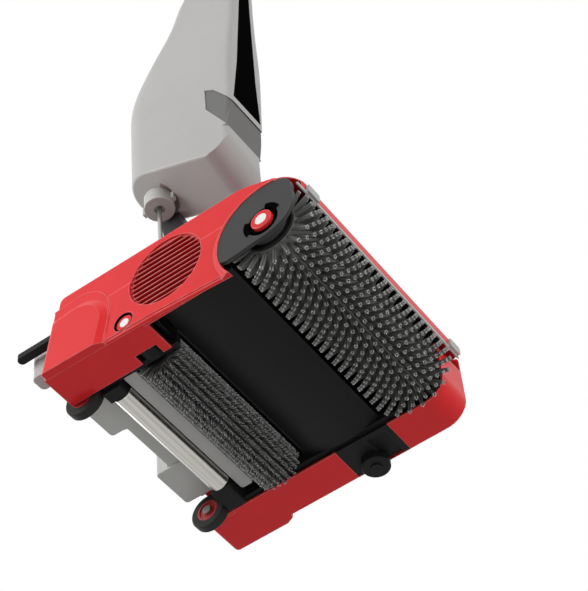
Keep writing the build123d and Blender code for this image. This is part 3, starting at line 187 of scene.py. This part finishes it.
# Metals. streak is the pattern's width in mm, and lay stretches it: a polished tube keeps lines
# along x, turned bar fine rings round x, and a casting an even mottle.
metals = {
    # drying roller: drawn and polished, mirrors the room; its long darker streaks of colour along x are
    # partly drawing lines and partly painted reflection bands
    "polishedSteelTube": dict(colour="CDCBC4", deep="86847E", rough=0.20, streak=3.0,
                              lay=(0.01, 1.0, 1.0), bump=0.02),
    # pins, shafts and pipe: bright with a fine turned lay
    "turnedSteelBar": dict(colour="C2C2BF", deep="A9A9A6", rough=0.30, streak=0.4,
                           lay=(1.0, 0.06, 0.06), bump=0.08),
    # bearings and dark shafts: blackened steel with a low sheen
    "blackOxideSteel": dict(colour="2C2C2D", deep="222223", rough=0.38, streak=0.4,
                            lay=(1.0, 0.06, 0.06), bump=0.06),
    # wheel bolts: plating gone dull
    "dullZincSteel": dict(colour="77736F", deep="5C5854", rough=0.48, streak=0.4,
                          lay=(1.0, 0.06, 0.06), bump=0.06),
    # motor can and handle tube: soft grey, faintly rough
    "castAluminium": dict(colour="A7A8AA", deep="95969A", rough=0.46, streak=1.6,
                          lay=(1.0, 1.0, 1.0), bump=0.20),
}
# What all metals share: width of smears and depth of streaks in mm
metalSkin = dict(smear=25, smearDetail=4.0, streakDetail=3.0, streakDepth=0.02, glossier=0.05,
                 duller=0.07)


def machinedMetal(name, look):
    material, tree = newMaterial(name)
    place = addNode(tree, "ShaderNodeTexCoord").outputs["Object"]
    stretch = addNode(tree, "ShaderNodeMapping", {"Vector": place, "Scale": look["lay"]})
    streaks = addNode(tree, "ShaderNodeTexNoise", {
        "Vector": stretch.outputs["Vector"], "Scale": 1 / (look["streak"] * mm),
        "Detail": metalSkin["streakDetail"]})
    smears = addNode(tree, "ShaderNodeTexNoise", {
        "Vector": place, "Scale": 1 / (metalSkin["smear"] * mm), "Detail": metalSkin["smearDetail"]})
    colour = addNode(tree, "ShaderNodeMix", {
        "Factor": streaks.outputs["Fac"], "A": hexColour(look["deep"]), "B": hexColour(look["colour"])},
        data_type="RGBA")
    rough = addNode(tree, "ShaderNodeMapRange", {
        "Value": smears.outputs["Fac"], "To Min": look["rough"] - metalSkin["glossier"],
        "To Max": look["rough"] + metalSkin["duller"]})
    bump = addNode(tree, "ShaderNodeBump", {
        "Height": streaks.outputs["Fac"], "Strength": look["bump"],
        "Distance": metalSkin["streakDepth"] * mm})
    shader = addNode(tree, "ShaderNodeBsdfPrincipled", {
        "Base Color": colour.outputs["Result"], "Roughness": rough.outputs["Result"], "Metallic": 1.0,
        "Normal": bump.outputs["Normal"]})
    addNode(tree, "ShaderNodeOutputMaterial", {"Surface": shader.outputs["BSDF"]})
    return material


# Moulded rubbers: matt, slightly dusty, with a coarse grain (widths and depth in mm)
rubbers = {
    "tyreRubber": dict(colour="171717", dustAndShade="222120", rough=0.70, grain=1.2),
    "beltRubber": dict(colour="1F1F20", dustAndShade="2A2A2A", rough=0.65, grain=0.8),
}
rubberSkin = dict(patch=9, patchDetail=6.0, bump=0.2, grainDepth=0.06, shine=0.2)


def mouldedRubber(name, look):
    material, tree = newMaterial(name)
    place = addNode(tree, "ShaderNodeTexCoord").outputs["Object"]
    dustAndShade = addNode(tree, "ShaderNodeTexNoise", {
        "Vector": place, "Scale": 1 / (rubberSkin["patch"] * mm), "Detail": rubberSkin["patchDetail"]})
    grain = addNode(tree, "ShaderNodeTexVoronoi", {
        "Vector": place, "Scale": 1 / (look["grain"] * mm)})
    colour = addNode(tree, "ShaderNodeMix", {
        "Factor": dustAndShade.outputs["Fac"], "A": hexColour(look["colour"]), "B": hexColour(look["dustAndShade"])},
        data_type="RGBA")
    bump = addNode(tree, "ShaderNodeBump", {
        "Height": grain.outputs["Distance"], "Strength": rubberSkin["bump"],
        "Distance": rubberSkin["grainDepth"] * mm})
    shader = addNode(tree, "ShaderNodeBsdfPrincipled", {
        "Base Color": colour.outputs["Result"], "Roughness": look["rough"],
        "Specular IOR Level": rubberSkin["shine"], "Normal": bump.outputs["Normal"]})
    addNode(tree, "ShaderNodeOutputMaterial", {"Surface": shader.outputs["BSDF"]})
    return material


# Nylon bristle: dyed grey with some strands paler, and the cut ends painted pale in specks.
# tipLength, cut and mottle are in mm; a higher spread leaves fewer pale strands.
bristleNylon = dict(tip="FAFAF7", rough=0.42, shine=0.45, ior=1.53, tipLength=2.3, cut=0.2, spread=1.3,
                    mottle=1.6, mottleDetail=2.0, speckLow=0.32, speckHigh=0.56)


def nylonBristle(name, look, rootColour, shaftColour, tipRadius, rootRadius):
    material, tree = newMaterial(name)
    place = addNode(tree, "ShaderNodeTexCoord").outputs["Object"]
    across = addNode(tree, "ShaderNodeVectorMath", {0: place, 1: (0.0, 1.0, 1.0)}, operation="MULTIPLY")
    reach = addNode(tree, "ShaderNodeVectorMath", {0: across.outputs["Vector"]}, operation="LENGTH")
    along = addNode(tree, "ShaderNodeMapRange", {
        "Value": reach.outputs["Value"], "From Min": rootRadius * mm, "From Max": tipRadius * mm})
    end = addNode(tree, "ShaderNodeMapRange", {
        "Value": reach.outputs["Value"], "From Min": (tipRadius - look["tipLength"]) * mm,
        "From Max": (tipRadius - look["cut"]) * mm})
    mottle = addNode(tree, "ShaderNodeTexNoise", {
        "Vector": place, "Scale": 1 / (look["mottle"] * mm), "Detail": look["mottleDetail"]})
    specks = addNode(tree, "ShaderNodeMapRange", {
        "Value": mottle.outputs["Fac"], "From Min": look["speckLow"], "From Max": look["speckHigh"]})
    paleEnds = addNode(tree, "ShaderNodeMath", {0: end.outputs["Result"], 1: specks.outputs["Result"]},
                   operation="MULTIPLY")
    lot = addNode(tree, "ShaderNodeNewGeometry").outputs["Random Per Island"]
    pale = addNode(tree, "ShaderNodeMath", {0: lot, 1: look["spread"]}, operation="POWER")
    dyed = addNode(tree, "ShaderNodeMix", {
        "Factor": pale.outputs["Value"], "A": hexColour(rootColour), "B": hexColour(shaftColour)},
        data_type="RGBA")
    shaft = addNode(tree, "ShaderNodeMix", {
        "Factor": along.outputs["Result"], "A": hexColour(rootColour), "B": dyed.outputs["Result"]},
        data_type="RGBA")
    colour = addNode(tree, "ShaderNodeMix", {
        "Factor": paleEnds.outputs["Value"], "A": shaft.outputs["Result"], "B": hexColour(look["tip"])},
        data_type="RGBA")
    shader = addNode(tree, "ShaderNodeBsdfPrincipled", {
        "Base Color": colour.outputs["Result"], "Roughness": look["rough"], "IOR": look["ior"],
        "Specular IOR Level": look["shine"]})
    addNode(tree, "ShaderNodeOutputMaterial", {"Surface": shader.outputs["BSDF"]})
    return material


finishes = {}
for looks, make in ((plastics, mouldedPlastic), (metals, machinedMetal), (rubbers, mouldedRubber)):
    for finishName, finishLook in looks.items():
        finishes[finishName] = make(finishName, finishLook)
print("materials made:", len(finishes))

# Which finish each CAD piece wears
wears = {
    "redAbsMoulded": "top_cover right_side_cover left_side_cover front_release_button "
                     "rear_release_button trigger power_button",
    "ventRedAbsMoulded": "vent_grille",
    "hubRedAbsPaintedShade": "right_wheel_hub left_wheel_hub",
    "blackPolypropylene": "chassis motor_guard roller_brackets guide_roller_bracket front_brush_core "
                          "front_pulley rear_brush_core rear_pulley motor_pulley idler_pulley "
                          "foot_lever battery_pack control_panel filler_cap guide_roller "
                          "guide_roller_pin",
    "deepBlackAbs": "front_cover front_lock_ring rear_lock_ring",
    "charcoalAbsMoulded": "end_plate hinge_bracket neck",
    "bandGreyAbs": "column_band",
    "lightGreyAbsMoulded": "front_lip ramp column_shell",
    "greyPolyethylene": "recovery_tank outlet_cap",
    "whiteAcetal": "front_button_insert rear_button_insert",
    "softTouchRubber": "grip",
    "polishedSteelTube": "drying_roller",
    "blackOxideSteel": "brush_bearings rear_brush_shaft roller_shaft",
    "dullZincSteel": "wheel_bolts",
    "turnedSteelBar": "feed_pipe foot_lever_pin hinge_pin hinge_screws front_brush_shaft motor_shaft",
    "castAluminium": "motor_can handle_tube",
    "tyreRubber": "right_wheel_tyre left_wheel_tyre",
    "beltRubber": "drive_belt",
}
for finishName, names in wears.items():
    for nodeName in names.split():
        nodes[nodeName].data.materials.clear()
        nodes[nodeName].data.materials.append(finishes[finishName])
print("finishes worn by", sum(len(names.split()) for names in wears.values()), "nodes")

# Brushes: tufts of nylon set in a sleeve. Sizes in mm; along and around count the tufts, hollow is
# the share of a tuft left open in its middle, and the colours run from root to shaft.
brushes = {
    "frontBrushTufts": dict(
        node="front_brush_bristles", body="front_brush", core=31.5, tip=55.0, along=22, around=38,
        strands=10, thick=1.05, hollow=0.35, rootSpread=1.9, tipSpread=2.4, jitter=0.25, uneven=0.9,
        endLean=1.5, root="5A5A58", shaft="80807E", seed=11),
    "rearBrushTufts": dict(
        node="rear_brush_bristles", body="rear_brush", core=16.5, tip=31.0, along=50, around=24,
        strands=7, thick=0.85, hollow=0.0, rootSpread=1.0, tipSpread=2.1, jitter=0.9, uneven=1.5,
        endLean=1.0, root="343433", shaft="B2B2B0", seed=23),
}
# Rows are staggered by half a pitch, strands fill a tuft by the golden angle, and only the last
# tufts lean out, which the high power gives; sunk and sleeveWall are in mm
tuftShape = dict(sides=4, taper=0.85, sunk=0.6, goldenTurn=0.381966, firstShift=0.25, stagger=0.5,
                 leanPower=9, sleeveSides=72, sleeveWall=1.5)


def strandFaces(first, sides):
    low = range(first, first + sides)
    high = range(first + sides, first + 2 * sides)
    faces = []
    for side in range(sides):
        following = (side + 1) % sides
        faces.append((low[side], low[following], high[following], high[side]))
    faces.append(tuple(high))
    return faces


def addStrand(verts, faces, look, x, rowTurn, twist, root, tip, length):
    sides = tuftShape["sides"]
    first = len(verts)
    foot = (look["core"] - tuftShape["sunk"]) * mm
    for radius, offset, width in ((foot, root, 1.0), (length, tip, tuftShape["taper"])):
        half = look["thick"] * mm / 2 * width
        for side in range(sides):
            turn = 2 * math.pi * side / sides + twist
            across = offset.y + half * math.sin(turn)
            outX = x + offset.x + half * math.cos(turn)
            outY = radius * math.cos(rowTurn) - across * math.sin(rowTurn)
            outZ = radius * math.sin(rowTurn) + across * math.cos(rowTurn)
            verts.append((outX, outY, outZ))
    faces += strandFaces(first, sides)


def addSleeve(verts, faces, look, ends):
    sides = tuftShape["sleeveSides"]
    first = len(verts)
    for x in ends:
        for radius in (look["core"], look["core"] - tuftShape["sleeveWall"]):
            for side in range(sides):
                turn = 2 * math.pi * side / sides
                verts.append((x, radius * mm * math.cos(turn), radius * mm * math.sin(turn)))
    rings = [range(first + index * sides, first + (index + 1) * sides) for index in range(4)]
    for near, far in ((0, 2), (2, 3), (3, 1), (1, 0)):  # outside, one end, inside, other end
        for side in range(sides):
            following = (side + 1) % sides
            faces.append((rings[near][side], rings[far][side], rings[far][following],
                          rings[near][following]))


def tuftBrush(name, look):
    low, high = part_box(look["node"])
    axis = Vector((0.0, (low.y + high.y) / 2, (low.z + high.z) / 2))
    draw = random.Random(look["seed"])
    verts = []
    faces = []
    pitch = (high.x - low.x) / look["along"]
    for row in range(look["around"]):
        rowTurn = 2 * math.pi * row / look["around"] - math.pi / 2  # the first row points down
        shift = tuftShape["firstShift"] + tuftShape["stagger"] * (row % 2)
        for column in range(look["along"]):
            x = low.x + pitch * (column + shift)
            fromMiddle = 2 * (x - low.x) / (high.x - low.x) - 1
            outward = Vector((look["endLean"] * mm * fromMiddle ** tuftShape["leanPower"], 0.0))
            for strand in range(look["strands"]):
                ringTurn = 2 * math.pi * strand * tuftShape["goldenTurn"]
                filled = (1 - look["hollow"]) * (strand + 0.5) / look["strands"]
                ringReach = math.sqrt(look["hollow"] + filled)
                lean = Vector((math.cos(ringTurn), math.sin(ringTurn))) * ringReach
                root = lean * look["rootSpread"] * mm
                jitter = Vector((draw.uniform(-1, 1), draw.uniform(-1, 1))) * look["jitter"] * mm
                tip = lean * look["tipSpread"] * mm + jitter + outward
                length = (look["tip"] - draw.uniform(0, look["uneven"])) * mm
                addStrand(verts, faces, look, x, rowTurn, strand, root, tip, length)
    addSleeve(verts, faces, look, (low.x, high.x))
    mesh = bpy.data.meshes.new(name)
    mesh.from_pydata(verts, [], faces)
    mesh.validate()
    brush = bpy.data.objects.new(name, mesh)
    scene.collection.objects.link(brush)
    brush.location = axis
    mesh.materials.append(nylonBristle(name + "Nylon", bristleNylon, look["root"], look["shaft"],
                                       look["tip"], look["core"]))
    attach(brush, look["body"])
    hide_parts(look["node"])
    print(name, "tufts", look["along"] * look["around"], "faces", len(faces))


for brushName, brushLook in brushes.items():
    tuftBrush(brushName, brushLook)

# Floor: pale, seen only from above, so that it hides nothing from a camera below it, and fading
# into the white surround away from the machine (sizes in metres)
floorLook = dict(size=8.0, drop=0.0005, colour="ECECEA", fadeStart=0.5, fadeEnd=1.3)


def paleFloor(look):
    half = look["size"] / 2
    z = -look["drop"]
    corners = [(-half, -half, z), (half, -half, z), (half, half, z), (-half, half, z)]
    mesh = bpy.data.meshes.new("floor")
    mesh.from_pydata(corners, [], [(0, 1, 2, 3)])
    floor = bpy.data.objects.new("floor", mesh)
    scene.collection.objects.link(floor)
    material, tree = newMaterial("paleFloorPaint")
    seen = addNode(tree, "ShaderNodeLightPath").outputs["Is Camera Ray"]
    under = addNode(tree, "ShaderNodeNewGeometry").outputs["Backfacing"]
    above = addNode(tree, "ShaderNodeMath", {0: 1.0, 1: under}, operation="SUBTRACT")
    place = addNode(tree, "ShaderNodeTexCoord").outputs["Object"]
    away = addNode(tree, "ShaderNodeVectorMath", {0: place}, operation="LENGTH")
    fade = addNode(tree, "ShaderNodeMapRange", {
        "Value": away.outputs["Value"], "From Min": look["fadeStart"], "From Max": look["fadeEnd"],
        "To Min": 1.0, "To Max": 0.0}, interpolation_type="SMOOTHSTEP")
    facing = addNode(tree, "ShaderNodeMath", {0: seen, 1: above.outputs["Value"]}, operation="MULTIPLY")
    shown = addNode(tree, "ShaderNodeMath", {0: facing.outputs["Value"], 1: fade.outputs["Result"]},
                    operation="MULTIPLY")
    clear = addNode(tree, "ShaderNodeBsdfTransparent")
    paint = addNode(tree, "ShaderNodeBsdfDiffuse", {"Color": hexColour(look["colour"])})
    mix = addNode(tree, "ShaderNodeMixShader", {
        "Fac": shown.outputs["Value"], 1: clear.outputs["BSDF"], 2: paint.outputs["BSDF"]})
    addNode(tree, "ShaderNodeOutputMaterial", {"Surface": mix.outputs["Shader"]})
    mesh.materials.append(material)


# Surround: plain white where it is seen or mirrored, and a low even light on the machine
surroundLook = dict(colour="FFFFFF", ambient=0.28)


def whiteSurround(look):
    world = bpy.data.worlds.new("whiteStudio")
    scene.world = world
    world.use_nodes = True
    tree = world.node_tree
    tree.nodes.clear()
    path = addNode(tree, "ShaderNodeLightPath").outputs
    mirrored = addNode(tree, "ShaderNodeMath", {0: path["Is Camera Ray"], 1: path["Is Glossy Ray"]},
                       operation="MAXIMUM")
    seen = addNode(tree, "ShaderNodeMath", {
        0: mirrored.outputs["Value"], 1: path["Is Transmission Ray"]}, operation="MAXIMUM")
    strength = addNode(tree, "ShaderNodeMapRange", {
        "Value": seen.outputs["Value"], "To Min": look["ambient"], "To Max": 1.0})
    back = addNode(tree, "ShaderNodeBackground", {
        "Color": hexColour(look["colour"]), "Strength": strength.outputs["Result"]})
    addNode(tree, "ShaderNodeOutputWorld", {"Surface": back.outputs["Background"]})


# Soft boxes: place and aim in metres, size in metres, power in watts
softBoxes = {
    "keyRight": dict(place=(-2.0, 1.7, 0.9), aim=(0, 0, 0.2), size=1.6, power=62),
    "frontFill": dict(place=(-0.9, -2.3, 0.8), aim=(0, 0, 0.3), size=1.8, power=36),
    "underFront": dict(place=(-0.6, -1.2, -2.2), aim=(0, 0, 0.1), size=2.4, power=20),
    "leftFill": dict(place=(2.4, 0.6, 0.9), aim=(0, 0, 0.4), size=2.0, power=40),
    "backFill": dict(place=(0.6, 2.6, 1.0), aim=(0, 0, 0.3), size=2.0, power=26),
}


def softBox(name, look):
    lamp = bpy.data.lights.new(name, "AREA")
    lamp.shape = "SQUARE"
    lamp.size = look["size"]
    lamp.energy = look["power"]
    box = bpy.data.objects.new(name, lamp)
    scene.collection.objects.link(box)
    box.location = look["place"]
    toAim = Vector(look["aim"]) - Vector(look["place"])
    box.rotation_euler = toAim.to_track_quat("-Z", "Y").to_euler()


# Camera under the floor, looking up at the brushes from the front right corner: place and reach
# in metres, turn in degrees, lens and sensor in mm
cameraLook = dict(place=(-1.3765, -0.8929, -1.7291), turn=(139.832, 3.993, -54.556), lens=127.63,
                  sensor=36.0, reach=50.0)


def photoCamera(look):
    lens = bpy.data.cameras.new("photoCamera")
    lens.lens = look["lens"]
    lens.sensor_width = look["sensor"]
    lens.clip_end = look["reach"]
    camera = bpy.data.objects.new("photoCamera", lens)
    scene.collection.objects.link(camera)
    camera.location = look["place"]
    camera.rotation_euler = [math.radians(angle) for angle in look["turn"]]
    scene.camera = camera


paleFloor(floorLook)
whiteSurround(surroundLook)
for boxName, boxLook in softBoxes.items():
    softBox(boxName, boxLook)
photoCamera(cameraLook)
print("stage set")
